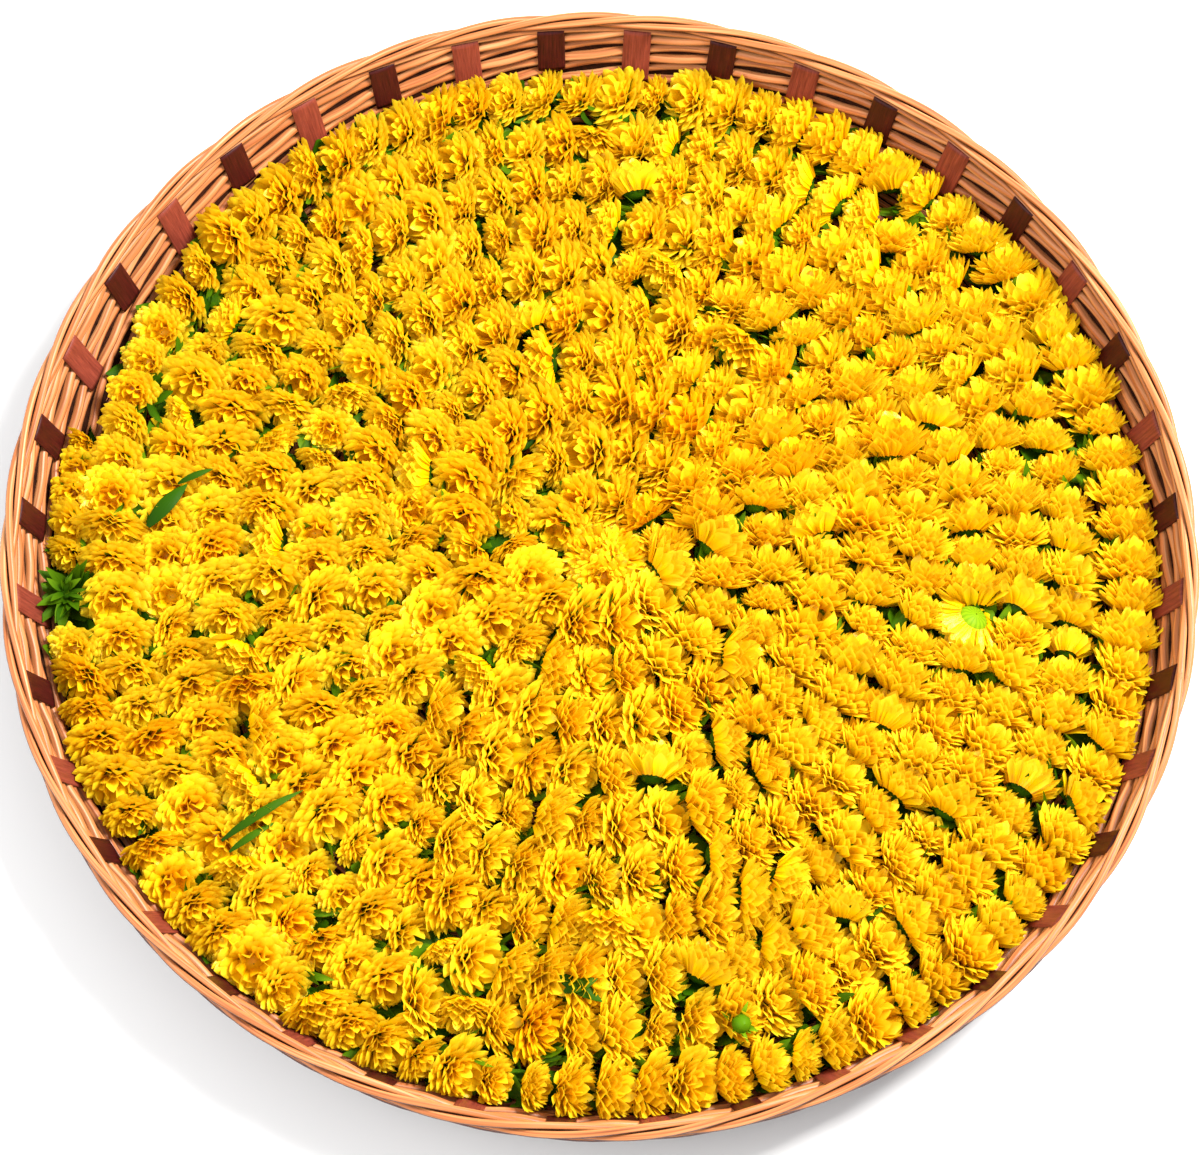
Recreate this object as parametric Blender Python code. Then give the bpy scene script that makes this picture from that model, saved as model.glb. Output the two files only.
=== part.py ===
"""A chrysanthemum garland coiled flat in its shallow woven basket.

The garland is one long string of flower heads. Each head is threaded through its calyx and its
middle, so the heads nest into one another like shuttlecocks, and the string is wound inwards from
the basket's wall to its centre. The basket has a base with a foot ring, a wall of rods woven round
forty flat splints, and a border of twisted rods.

Metres, +Z up. The origin is at the centre of the foot ring's underside.
"""

import math
import random

import bmesh
import bpy

# Basket: overall sizes
RIM_RADIUS = 0.330
RIM_HEIGHT = 0.068
BORDER_RADIUS = 0.0041
BORDER_LOBE = 0.0007
BORDER_TWISTS = 8
GAP = 0.0004

# Basket: wall
WALL_TOP = RIM_HEIGHT - 2 * (BORDER_RADIUS + BORDER_LOBE) - GAP
WALL_BOTTOM = 0.0030
WALL_TOP_RADIUS = 0.3255
WALL_LEAN = 0.0195
WALL_FOOT_CURVE = 0.0065
WALL_THICKNESS = 0.0044
WALL_RELIEF = 0.0011
WALL_OUTER_ROWS = 6
WALL_INNER_ROWS = 4

# Basket: base, domed up in the middle, on a flat foot ring
BASE_EDGE_TOP = 0.0080
BASE_THICKNESS = 0.0048
BASE_DOME = 0.0140
BASE_RELIEF = 0.0008
FOOT_INNER = 0.226
FOOT_OUTER = 0.244
FOOT_FLARE = 0.005

# Basket: splints, alternately dark and red-brown, with two neighbours alike at each shift
STAKES = 40
STAKE_WIDTH = 0.0160
STAKE_THICKNESS = 0.0012
STAKE_CLEAR = 0.0008
STAKE_FOOT_DARK = 0.030
STAKE_FOOT_RED = 0.022
SHIFT_FIRST = 21
SHIFT_LAST = 34

# Garland: the coil
PITCH = 0.0281
COIL_RADIUS = 0.2922
TURNS = 10
COIL_START = math.radians(215.0)
STEP_SHARE = 75.0 / 360.0
END_TURN = TURNS - STEP_SHARE / 2
SPACING = 0.0209

# Garland: one head
PETALS = 5
NECK_SIDES = 3
NECK_RADIUS = 0.0031
HEAD_DOWN = 0.0134
HEAD_RISE = 1.45
SIDE_CLEAR = 0.0004
FLOOR_CLEAR = 0.0004
TIP_REACH = 0.92
VALLEY_REACH = 0.52
VALLEY_RADIUS = 0.80
HEAD_SMALLEST = 0.90
SPACING_SPREAD = 0.07
SEED = 11

# Garland: the last heads, which stand in the middle with their calyx up
MIDDLE_HEADS = 3
MIDDLE_RADIUS = 0.0100
MIDDLE_HEIGHT = 0.0270
MIDDLE_CIRCLE = 0.0118
MIDDLE_SHIFT = 0.0030
MIDDLE_PETALS = 8

STRAW = (0.520, 0.262, 0.115, 1.0)
DARK_SPLINT = (0.060, 0.026, 0.016, 1.0)
RED_SPLINT = (0.250, 0.052, 0.024, 1.0)
YELLOW = (0.780, 0.455, 0.010, 1.0)


def material(name, colour, roughness):
    """A plain Principled material."""
    made = bpy.data.materials.new(name)
    made.use_nodes = True
    shader = made.node_tree.nodes["Principled BSDF"]
    shader.inputs["Base Color"].default_value = colour
    shader.inputs["Roughness"].default_value = roughness
    shader.inputs["Metallic"].default_value = 0.0
    return made


def polar(radius, angle, z):
    """A point at a radius and an angle round the basket's axis."""
    return (radius * math.cos(angle), radius * math.sin(angle), z)


def smooth_step(share):
    """0 below 0, 1 above 1, and an easy curve between."""
    share = min(max(share, 0.0), 1.0)
    return share * share * (3.0 - 2.0 * share)


def add_object(name, points, faces, finish, parent):
    """One closed body from points and faces, with its faces split into triangles and pointing out."""
    mesh = bpy.data.meshes.new(name)
    mesh.from_pydata(points, [], faces)
    body = bmesh.new()
    body.from_mesh(mesh)
    bmesh.ops.triangulate(body, faces=body.faces)
    bmesh.ops.recalc_face_normals(body, faces=body.faces)
    body.to_mesh(mesh)
    body.free()
    mesh.materials.append(finish)
    made = bpy.data.objects.new(name, mesh)
    bpy.context.scene.collection.objects.link(made)
    made.parent = parent
    return made


def closed_ring(sections):
    """Points and faces of a ring whose closed cross-sections follow one another round the axis."""
    side = len(sections[0])
    points = [point for section in sections for point in section]
    faces = []
    for i in range(len(sections)):
        ahead = (i + 1) % len(sections)
        for j in range(side):
            beside = (j + 1) % side
            faces.append((i * side + j, ahead * side + j, ahead * side + beside, i * side + beside))
    return points, faces


def wall_radius(z):
    """Mid radius of the wall: nearly straight above, drawn in towards the base."""
    fall = (WALL_TOP - z) / (WALL_TOP - WALL_BOTTOM)
    return WALL_TOP_RADIUS - WALL_LEAN * fall - WALL_FOOT_CURVE * fall**4


def inner_row(j):
    """Height of a row of the wall's inside, counted from the top."""
    return WALL_TOP - (WALL_TOP - WALL_BOTTOM) * j / WALL_INNER_ROWS


def wall_inside(z):
    """Inner radius of the wall at the splints, where it is straight from row to row."""
    share = (WALL_TOP - z) / (WALL_TOP - WALL_BOTTOM) * WALL_INNER_ROWS
    row = min(max(math.floor(share), 0), WALL_INNER_ROWS - 1)
    above = wall_radius(inner_row(row))
    below = wall_radius(inner_row(row + 1))
    return above + (below - above) * (share - row) - WALL_THICKNESS / 2


def floor_height(radius):
    """Height of the base's upper side, domed in the middle."""
    return BASE_EDGE_TOP + BASE_DOME * (1.0 - min(radius / COIL_RADIUS, 1.0) ** 2)


def make_wall(finish, parent):
    """The woven wall. At the splints its outside waves out and in, as rods do that pass round them."""
    steps = 2 * STAKES
    height = WALL_TOP - WALL_BOTTOM
    sections = []
    for i in range(steps):
        angle = 2 * math.pi * i / steps
        at_stake = i % 2 == 0
        section = []
        for j in range(WALL_OUTER_ROWS + 1):
            z = WALL_BOTTOM + height * j / WALL_OUTER_ROWS
            wave = WALL_RELIEF if (i // 2 + j) % 2 == 0 else -WALL_RELIEF
            edge = j in (0, WALL_OUTER_ROWS)
            out = wave if at_stake and not edge else 0.0
            section.append(polar(wall_radius(z) + WALL_THICKNESS / 2 + out, angle, z))
        for j in range(WALL_INNER_ROWS + 1):
            z = inner_row(j)
            edge = j == WALL_INNER_ROWS
            bulge = 0.0 if at_stake or edge else WALL_RELIEF
            section.append(polar(wall_inside(z) - bulge, angle, z))
        sections.append(section)
    points, faces = closed_ring(sections)
    return add_object("basket_wall", points, faces, finish, parent)


def make_rim(finish, parent):
    """The border: three rods twisted together in long lays, as one lobed rope."""
    steps = 2 * STAKES
    lobes = 3
    middle = RIM_RADIUS - BORDER_RADIUS - BORDER_LOBE
    height = RIM_HEIGHT - BORDER_RADIUS - BORDER_LOBE
    sections = []
    for i in range(steps):
        angle = 2 * math.pi * i / steps
        section = []
        for j in range(2 * lobes):
            thick = BORDER_RADIUS + (BORDER_LOBE if j % 2 == 0 else -BORDER_LOBE)
            lay = math.pi * j / lobes + BORDER_TWISTS * angle
            section.append(polar(middle + thick * math.cos(lay), angle, height + thick * math.sin(lay)))
        sections.append(section)
    points, faces = closed_ring(sections)
    return add_object("basket_rim", points, faces, finish, parent)


def base_profile():
    """The base's half section from the middle of its underside, over the edge, to its top."""
    edge = wall_inside(BASE_EDGE_TOP) - 3 * GAP
    below = [(radius, floor_height(radius) - BASE_THICKNESS) for radius in (0.075, 0.150)]
    foot = [
        (FOOT_INNER - FOOT_FLARE, floor_height(FOOT_INNER) - BASE_THICKNESS),
        (FOOT_INNER, 0.0),
        (FOOT_OUTER, 0.0),
        (FOOT_OUTER + FOOT_FLARE, floor_height(FOOT_OUTER) - BASE_THICKNESS),
    ]
    rim = [(wall_inside(WALL_BOTTOM) - 3 * GAP, WALL_BOTTOM), (edge, BASE_EDGE_TOP - GAP)]
    above = [(radius, floor_height(radius)) for radius in (0.240, 0.170, 0.085)]
    return below + foot + rim + above


def make_base(finish, parent):
    """The round woven base. Its underside waves between the splints, and its foot ring is flat."""
    profile = base_profile()
    points = [(0.0, 0.0, floor_height(0.0) - BASE_THICKNESS)]
    for i in range(STAKES):
        angle = 2 * math.pi * i / STAKES
        for j, (radius, z) in enumerate(profile):
            wave = BASE_RELIEF if (i + j) % 2 == 0 and z > BASE_RELIEF else 0.0
            points.append(polar(radius, angle, z - wave))
    points.append((0.0, 0.0, floor_height(0.0)))
    side = len(profile)
    faces = []
    for i in range(STAKES):
        here = 1 + i * side
        ahead = 1 + (i + 1) % STAKES * side
        faces.append((0, ahead, here))
        for j in range(side - 1):
            faces.append((here + j, ahead + j, ahead + j + 1, here + j + 1))
        faces.append((here + side - 1, ahead + side - 1, len(points) - 1))
    return add_object("basket_base", points, faces, finish, parent)


def make_stake(number, finish, parent, foot):
    """One flat splint on the inside of the wall, from under the border down to its foot."""
    turn = 2 * math.pi * number / STAKES
    between = [inner_row(j) for j in range(1, WALL_INNER_ROWS) if inner_row(j) > foot + STAKE_CLEAR]
    heights = [WALL_TOP - GAP, *between, foot]
    points = []
    for z in heights:
        outside = wall_inside(z) - STAKE_CLEAR
        for depth, side in ((0, -1), (0, 1), (1, 1), (1, -1)):
            radius = outside - depth * STAKE_THICKNESS
            across = side * STAKE_WIDTH / 2
            x = radius * math.cos(turn) - across * math.sin(turn)
            y = radius * math.sin(turn) + across * math.cos(turn)
            points.append((x, y, z))
    faces = [(0, 1, 2, 3)]
    for row in range(len(heights) - 1):
        for j in range(4):
            k = (j + 1) % 4
            faces.append((4 * row + j, 4 * row + k, 4 * row + 4 + k, 4 * row + 4 + j))
    last = 4 * (len(heights) - 1)
    faces.append((last + 3, last + 2, last + 1, last))
    return add_object(f"stake_{number + 1:02d}", points, faces, finish, parent)


def coil_radius(turn):
    """Radius of the string after a number of turns: level rings, with a step inwards in each turn."""
    whole = math.floor(turn)
    step = smooth_step((turn - whole - 1.0 + STEP_SHARE) / STEP_SHARE)
    return COIL_RADIUS - PITCH * (whole + step)


def string_at(turn):
    """Radius of the string and the room on each side of it. The loose end tapers into its wedge."""
    if turn >= 0.0:
        return coil_radius(turn), PITCH / 2
    room = COIL_RADIUS - coil_radius(turn + 1.0)
    return COIL_RADIUS + (PITCH - room) / 2, room / 2


def place_heads():
    """The heads in order along the string, as (turn at the calyx, half width, phase)."""
    random.seed(SEED)
    heads = []
    turn = -STEP_SHARE / 2
    while True:
        radius, room = string_at(turn)
        spacing = SPACING * random.uniform(1.0 - SPACING_SPREAD, 1.0 + SPACING_SPREAD)
        spacing *= 0.5 + 0.5 * min(room / (PITCH / 2), 1.0)
        ahead = turn + spacing / (2 * math.pi * radius)
        if ahead > END_TURN:
            return heads, turn
        half = (room - SIDE_CLEAR) * random.uniform(HEAD_SMALLEST, 1.0)
        heads.append((turn, half, random.uniform(0.0, 2 * math.pi)))
        turn = ahead


def string_point(turn, across, up):
    """A point beside the string: across is outwards, up is from the string's own height."""
    radius = string_at(turn)[0] + across
    angle = COIL_START + 2 * math.pi * turn
    return polar(radius, angle, floor_height(radius) + FLOOR_CLEAR + HEAD_DOWN + up)


def neck_ring(turn, phase):
    """The narrow ring of a calyx."""
    ring = []
    for j in range(NECK_SIDES):
        angle = phase + 2 * math.pi * j / NECK_SIDES
        point = string_point(turn, NECK_RADIUS * math.cos(angle), NECK_RADIUS * math.sin(angle))
        ring.append((angle, point))
    return ring


def star_ring(head, next_turn):
    """The ring of petal tips, with the valleys between them set back and in."""
    turn, half, phase = head
    length = next_turn - turn
    ring = []
    for j in range(2 * PETALS):
        angle = phase + math.pi * j / PETALS
        tip = j % 2 == 0
        reach = TIP_REACH if tip else VALLEY_REACH
        size = 1.0 if tip else VALLEY_RADIUS
        across = half * size * math.cos(angle)
        up = math.sin(angle) * size
        up *= half * HEAD_RISE if up > 0 else min(half, HEAD_DOWN)
        ring.append((angle, string_point(turn + reach * length, across, up)))
    return ring


def join_rings(points, faces, low, high):
    """Triangles between two rings, given as (first index, angles), stepping round both by angle."""
    start_low, angles_low = low
    start_high, angles_high = high
    full = 2 * math.pi
    base = angles_low[0]
    near = [(a - base + math.pi) % full - math.pi for a in angles_high]
    first = min(range(len(near)), key=lambda k: abs(near[k]))
    i = 0
    j = 0
    count_low = len(angles_low)
    count_high = len(angles_high)
    while i < count_low or j < count_high:
        next_low = (i + 1) * full / count_low
        next_high = near[first] + (j + 1) * full / count_high
        a = start_low + i % count_low
        b = start_high + (first + j) % count_high
        if j >= count_high or (i < count_low and next_low <= next_high):
            faces.append((a, start_low + (i + 1) % count_low, b))
            i += 1
        else:
            faces.append((a, start_high + (first + j + 1) % count_high, b))
            j += 1


def make_turn(number, heads, end_turn, finish, parent):
    """One turn of the coil: its heads as one body, from the first calyx to the last open flower."""
    points = []
    faces = []
    rings = []
    for k, head in enumerate(heads):
        last = k == len(heads) - 1
        next_turn = end_turn if last else heads[k + 1][0]
        rings.append(neck_ring(head[0], head[2]))
        rings.append(star_ring(head, next_turn))
    gap = GAP / (2 * math.pi * string_at(end_turn)[0])
    rings.append(neck_ring(end_turn - gap, heads[-1][2]))
    placed = []
    for ring in rings:
        placed.append((len(points), [angle for angle, _ in ring]))
        points.extend(point for _, point in ring)
    faces.append(tuple(range(NECK_SIDES)))
    for low, high in zip(placed, placed[1:]):
        join_rings(points, faces, low, high)
    faces.append(tuple(range(placed[-1][0], placed[-1][0] + NECK_SIDES)))
    return add_object(f"garland_turn_{number:02d}", points, faces, finish, parent)


def make_middle_head(number, finish, parent):
    """One of the string's last heads, set upright in the middle of the coil with its calyx on top."""
    shift = COIL_START + math.pi
    where = COIL_START + 2 * math.pi * (number + 0.5) / MIDDLE_HEADS
    x = MIDDLE_SHIFT * math.cos(shift) + MIDDLE_CIRCLE * math.cos(where)
    y = MIDDLE_SHIFT * math.sin(shift) + MIDDLE_CIRCLE * math.sin(where)
    floor = floor_height(0.0) + FLOOR_CLEAR
    count = 2 * MIDDLE_PETALS
    star = [where + math.pi * j / MIDDLE_PETALS for j in range(count)]
    neck = [where + 2 * math.pi * j / NECK_SIDES for j in range(NECK_SIDES)]
    points = []
    for j, angle in enumerate(star):
        tip = j % 2 == 0
        radius = MIDDLE_RADIUS * (1.0 if tip else VALLEY_RADIUS)
        lift = 0.0 if tip else MIDDLE_HEIGHT / 3
        points.append((x + radius * math.cos(angle), y + radius * math.sin(angle), floor + lift))
    for angle in neck:
        across = NECK_RADIUS * math.cos(angle)
        along = NECK_RADIUS * math.sin(angle)
        points.append((x + across, y + along, floor + MIDDLE_HEIGHT))
    points.append((x, y, floor + MIDDLE_HEIGHT / 4))
    faces = [(count, count + 1, count + 2)]
    join_rings(points, faces, (count, neck), (0, star))
    for j in range(count):
        faces.append((len(points) - 1, (j + 1) % count, j))
    return add_object(f"garland_middle_head_{number + 1}", points, faces, finish, parent)


def build():
    """Clears the scene and makes every piece."""
    for old in list(bpy.data.objects):
        bpy.data.objects.remove(old)
    parent = bpy.data.objects.new("chrysanthemum_garland", None)
    bpy.context.scene.collection.objects.link(parent)
    straw = material("straw_rods", STRAW, 0.55)
    dark = material("dark_splints", DARK_SPLINT, 0.6)
    red = material("red_splints", RED_SPLINT, 0.6)
    yellow = material("yellow_petals", YELLOW, 0.7)
    make_base(straw, parent)
    make_wall(straw, parent)
    make_rim(straw, parent)
    for number in range(STAKES):
        shift = 1 if SHIFT_FIRST <= number <= SHIFT_LAST else 0
        is_dark = (number + shift) % 2 == 0
        foot = STAKE_FOOT_DARK if is_dark else STAKE_FOOT_RED
        make_stake(number, dark if is_dark else red, parent, foot)
    heads, end_turn = place_heads()
    for number in range(TURNS):
        low = -1.0 if number == 0 else float(number)
        mine = [head for head in heads if low <= head[0] < number + 1]
        beyond = [head[0] for head in heads if head[0] >= number + 1]
        make_turn(number + 1, mine, beyond[0] if beyond else end_turn, yellow, parent)
    for number in range(MIDDLE_HEADS):
        make_middle_head(number, yellow, parent)


build()
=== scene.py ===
"""The looks of a coiled chrysanthemum garland in its woven basket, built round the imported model.

Every flower head, petal, leaf and rod is mesh, worked out here from the coil and the basket's sizes.
"""

import math
import random

import bpy
import numpy as np
from mathutils import Matrix, Vector


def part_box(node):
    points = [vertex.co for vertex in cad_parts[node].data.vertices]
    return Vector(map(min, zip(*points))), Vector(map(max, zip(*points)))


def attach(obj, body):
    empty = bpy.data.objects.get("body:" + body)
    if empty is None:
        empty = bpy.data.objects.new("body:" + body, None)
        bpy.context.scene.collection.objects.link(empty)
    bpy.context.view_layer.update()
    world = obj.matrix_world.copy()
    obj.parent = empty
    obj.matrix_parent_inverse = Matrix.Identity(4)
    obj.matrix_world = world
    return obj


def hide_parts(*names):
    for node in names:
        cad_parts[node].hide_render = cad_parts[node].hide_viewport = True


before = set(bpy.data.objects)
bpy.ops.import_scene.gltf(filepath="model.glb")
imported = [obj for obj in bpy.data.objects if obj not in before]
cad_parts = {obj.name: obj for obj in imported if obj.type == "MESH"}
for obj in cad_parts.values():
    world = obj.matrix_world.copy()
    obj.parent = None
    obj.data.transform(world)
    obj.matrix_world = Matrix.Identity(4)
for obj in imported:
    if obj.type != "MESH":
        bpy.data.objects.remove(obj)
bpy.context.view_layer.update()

# Camera: the photograph's angle, in degrees and metres
CAMERA_AZIMUTH = 9.0
CAMERA_ELEVATION = 70.3
CAMERA_ROLL = 4.0
CAMERA_DISTANCE = 2.10
CAMERA_LENS = 113.5
CAMERA_AIM = (0.0018, -0.0098, 0.041)

# Lights: place, width, power in watts and colour
KEY_LIGHT = ((0.9, 0.7, 1.9), 0.7, 110.0, (1.0, 0.985, 0.96))
FILL_LIGHT = ((-1.4, -0.9, 1.6), 1.6, 30.0, (1.0, 1.0, 1.0))
LIGHT_AIM = (0.0, 0.0, 0.05)
SURROUND_STRENGTH = 0.80
FLOOR_SHADE = 0.88
FLOOR_HALF = 12.0

# Basket's wall, from the frame and the wall's profile. All lengths are metres
RIM_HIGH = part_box("basket_rim")[1]
RIM_RADIUS = RIM_HIGH[0]
RIM_HEIGHT = RIM_HIGH[2]
WALL_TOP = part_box("basket_wall")[1][2]
WALL_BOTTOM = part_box("basket_wall")[0][2]
WALL_TOP_RADIUS = 0.3255
WALL_LEAN = 0.0195
WALL_FOOT_CURVE = 0.0065
WALL_HALF = 0.0022
WALL_ROOM = 0.0052
ROD_RADIUS = 0.0031
ROD_GAPS = 7
ROD_WAVE = 0.0022
ROD_WAVE_BACK = 0.55
ROD_LIFT = 0.0005
ROD_UNEVEN = 0.0003
ROD_SET = 0.0002
ROD_TAPER = 0.10
THIN_ROD = 0.0020
LAYER_INSET = 0.001

# Pairs of rods that close the wall at its top and foot, as distances from its middle and heights
EDGE_RODS = ((-0.0018, WALL_TOP - 0.0017), (0.0018, WALL_TOP - 0.0017),
             (-0.0016, WALL_BOTTOM + 0.0021), (0.0018, WALL_BOTTOM + 0.0021))

# Splints. The two colours take turns, with a shift between two of them
STAKES = 40
STAKE_WIDTH = 0.0160
STAKE_THICKNESS = 0.0012
STAKE_GAP = 0.0008
STAKE_BOW = 0.0005
STAKE_TRIM = 0.0001
SHIFT_FIRST = 21
SHIFT_LAST = 34

# Border
BORDER_INSET = 0.0048
BORDER_ROD = 0.00205
BORDER_SPREAD = 0.00275
BORDER_TWISTS = 13
BORDER_TONES = (0.1, 0.8, 0.4)
# BORDER_CORE sizes the dark tube of painted shade inside the border, as a share of a rod's radius
BORDER_CORE = 0.62

# Base and foot ring
BASE_EDGE_TOP = 0.0080
BASE_DOME = 0.0140
BASE_MIDDLE = 0.0024
BASE_ROOM = 0.0048
BASE_ROW = 0.00455
BASE_HOLE = 0.012
BASE_WAVE = 0.0009
BASE_CURL = 0.0105
BASE_CURL_STEP = 0.0035
BASE_CURL_HEIGHT = 0.0196
FLOOR_ROOM = 0.0004
FOOT_INNER = 0.226
FOOT_ROD = 0.0022
FOOT_ROW = 0.0044
FOOT_LAYERS = ((3, 0.0040, 0.0022), (2, 0.0062, 0.0060))

# Garland: the string's coil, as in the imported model
PITCH = 0.0281
COIL_RADIUS = 0.2922
TURNS = 10
COIL_START = math.radians(215.0)
STEP_SHARE = 75.0 / 360.0
END_TURN = TURNS - STEP_SHARE / 2
SPACING = 0.0209
SPACING_SPREAD = 0.07
HEAD_SMALLEST = 0.90
SIDE_CLEAR = 0.0004
STRING_HEIGHT = 0.0138
SEED = 11

# How the heads sit on the string, in degrees where they turn. Each pair is a mean and its spread
TILT = (35.0, 14.0)
TILT_LIMITS = (-8.0, 80.0)
YAW = (10.0, 15.0)
LARGE_HEADS = (0.89, 1.15)
SMALL_HEADS = (0.70, 0.88)
SMALL_SHARE = 0.13
OPENNESS = (74.0, 96.0)
PETALS = (142, 160)
PETAL_BREADTH = (1.15, 1.55)
OUTER_YAW = 10.0
OUTER_SHIFT = 0.0022
OUTER_LIFT = 0.0045

# What changes in the heads from the left, 0, to the right, 1
RIGHT_SPAN = 0.4
RIGHT_TILT = -8.0
RIGHT_SIZE = 0.06
RIGHT_SHIFT = 0.0030
RIGHT_OPENNESS = -9.0
RIGHT_DEPTH = 0.25

# Heads that lie on their sides and show their fan of petals and their calyx
FAN_SHARE = 0.09
FAN_TURN = (35.0, 95.0)
FAN_OPENNESS = (62.0, 78.0)
FAN_TONE = 0.4
FAN_LIFT = 0.0025

# The head that lies upside down, and the tuft of leaves that has no head
TURNED_HEAD = (0.2002, 0.0193)
TURNED_REACH = 0.011
TURNED_CLEAR = 0.03
TURNED_AXIS = (-0.30, -0.42, -0.86)
TURNED_LIFT = 0.0045
TUFT = (-0.2835, -0.0819)
TUFT_CLEAR = 0.0150

# The raised arc of heads about the middle
SWELL_RADIUS = 0.095
SWELL_WIDTH = 0.024
SWELL_TURN = 0.6
SWELL_SIZE = 0.10
SWELL_LIFT = 0.0035

# The heads that fill the middle
MIDDLE_HEADS = 3
MIDDLE_SHIFT = 0.0030
MIDDLE_RADIUS = 0.0118
MIDDLE_LIFT = 0.004
MIDDLE_SIZE = 0.9
MIDDLE_TONE = 0.35
MIDDLE_PETALS = 124
MIDDLE_OPENNESS = 96.0
MIDDLE_GREEN = 0.4

# One head of size 1. A share is 0 for its innermost petal and 1 for its outermost
GOLDEN = math.pi * (3.0 - math.sqrt(5.0))
HEAD_ROOT = 0.0080
HEAD_REACH = 0.0208
HEAD_DEPTH = 0.0146
HEAD_RISE = 0.0040
PETAL_CROWDING = 0.56
PETAL_SPREAD = 0.94
PETAL_DROOP = 0.40
PETAL_WIDTH = (0.0046, 0.0006)
PETAL_ROOT_OUT = (0.0008, 0.0042)
PETAL_ROOT_RISE = (0.0052, -0.0032)
PETAL_ROOT_FOLLOW = 0.18
PETAL_CUP = (-0.80, -0.30)
LOWEST_PETAL = -0.45
LOWEST_TURNED_PETAL = -0.8
CURL_PLACES = (0.0, 0.20, 0.50, 1.0)
CURLS = (-0.9, -0.40, 0.90, 0.30)
CURL_SPREAD = 0.20
CORE_SHAPE = ((0.0, 0.0066), (0.0022, 0.0076), (0.0040, 0.0052), (0.0050, 0.0022), (0.0053, 0.0003))
CORE_RISE = 0.0020
CORE_SIDES = 7
CALYX_SHAPE = ((0.0, 0.0003), (0.0008, 0.0046), (0.0038, 0.0074), (0.0078, 0.0084))
CALYX_SINK = 0.0010
CALYX_SIDES = 8
CALYX_SEPALS = 9
SEPAL_RISE = 0.0012
SEPAL_OUT = 0.0064
SEPAL_WIDTH = 0.0042
SEPAL_LENGTH = (0.0095, 0.0140)
SHOWY_SIDES = 30
SHOWY_SEPALS = 18
SHOWY_CUP = 1.35
SHOWY_STRIPE = 0.4
SHOWY_SEPAL_LENGTH = 1.25

# Outlines of blades: places along them, and their widths there
PETAL_ROWS = np.array([0.0, 0.50, 0.83, 1.0])
PETAL_WIDTHS = np.array([0.56, 0.94, 1.00, 0.50])
PETAL_NOTCH = -0.08
SEPAL_ROWS = np.array([0.0, 0.5, 1.0])
SEPAL_WIDTHS = np.array([0.9, 0.8, 0.15])
SMALL_LEAF_ROWS = np.linspace(0.0, 1.0, 5)
SMALL_LEAF_WIDTHS = np.array([0.35, 0.8, 1.0, 0.75, 0.12])
TUFT_LEAF_WIDTHS = np.array([0.40, 0.85, 1.0, 0.72, 0.10])
LONG_LEAF_ROWS = np.linspace(0.0, 1.0, 7)
LONG_LEAF_WIDTHS = np.array([0.30, 0.72, 0.95, 1.0, 0.86, 0.55, 0.08])

# Leaves under each head: 0 is a slim one beside it, and 1 a broad one that fills the gap below it
LEAVES = (0, 0, 0, 1, 1, 1, 1, 1)
LEAF_LENGTH = (0.014, 0.024)
LEAF_WIDTH = (0.0040, 0.0065)
LEAF_ASIDE = (0.008, 0.014)
LOW_LEAF_DROP = 0.0070

# Tufts of leaves: x, y, height, count, reach and tone
LEAF_TUFTS = ((TUFT[0], TUFT[1], 0.027, 30, 0.022, 0.0),
              (TUFT[0] - 0.002, TUFT[1] - 0.002, 0.034, 12, 0.012, 0.15),
              (-0.0026, -0.0284, 0.045, 8, 0.012, 0.35),
              (0.1292, -0.2379, 0.036, 7, 0.012, 0.75))

# Long leaves that lie over the heads: start, end, height, width and tone
LONG_LEAVES = (((-0.2500, -0.0380), (-0.2370, -0.0080), 0.0405, 0.0090, 0.00),
               ((-0.2400, -0.0100), (-0.2240, 0.0040), 0.0420, 0.0040, 0.05),
               ((-0.1640, -0.2040), (-0.1310, -0.1650), 0.0410, 0.0052, 0.10),
               ((-0.1590, -0.2080), (-0.1400, -0.1850), 0.0365, 0.0042, 0.20),
               ((0.0290, -0.2350), (0.0560, -0.2420), 0.0400, 0.0085, 0.05),
               ((0.0350, -0.2440), (0.0500, -0.2320), 0.0430, 0.0070, 0.15))

# A closed bud in the last tuft
BUD_PLACE = (0.1292, -0.2379, 0.0360)
BUD_AXIS = (0.3, -0.2, 0.9)
BUD_HALF = 0.0060
BUD_RADIUS = 0.0052

# Colours along a petal or a leaf from root to tip, and over the grain of a rod or a splint
FRESH_PETAL = ((0.0, (0.95, 0.57, 0.001)), (0.42, (1.0, 0.77, 0.001)), (1.0, (1.0, 0.79, 0.030)))
# The second palette gives riper heads, and also the painted shade of heads further to the left
RIPE_AND_SHADED_PETAL = ((0.0, (0.90, 0.35, 0.001)), (0.42, (0.98, 0.58, 0.001)), (1.0, (1.0, 0.68, 0.004)))
PETAL_VEIN = (0.85, 0.38, 0.001)
DEEP_GREEN = ((0.0, (0.006, 0.028, 0.001)), (1.0, (0.024, 0.088, 0.001)))
PALE_GREEN = ((0.0, (0.030, 0.120, 0.001)), (1.0, (0.260, 0.440, 0.006)))
GREEN_VEIN = (0.022, 0.070, 0.001)
ROD_STREAKS = ((0.26, (0.25, 0.058, 0.015)), (0.50, (0.56, 0.190, 0.062)), (0.76, (0.77, 0.41, 0.180)))
ROD_TAN = (0.50, 0.165, 0.050)
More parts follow.
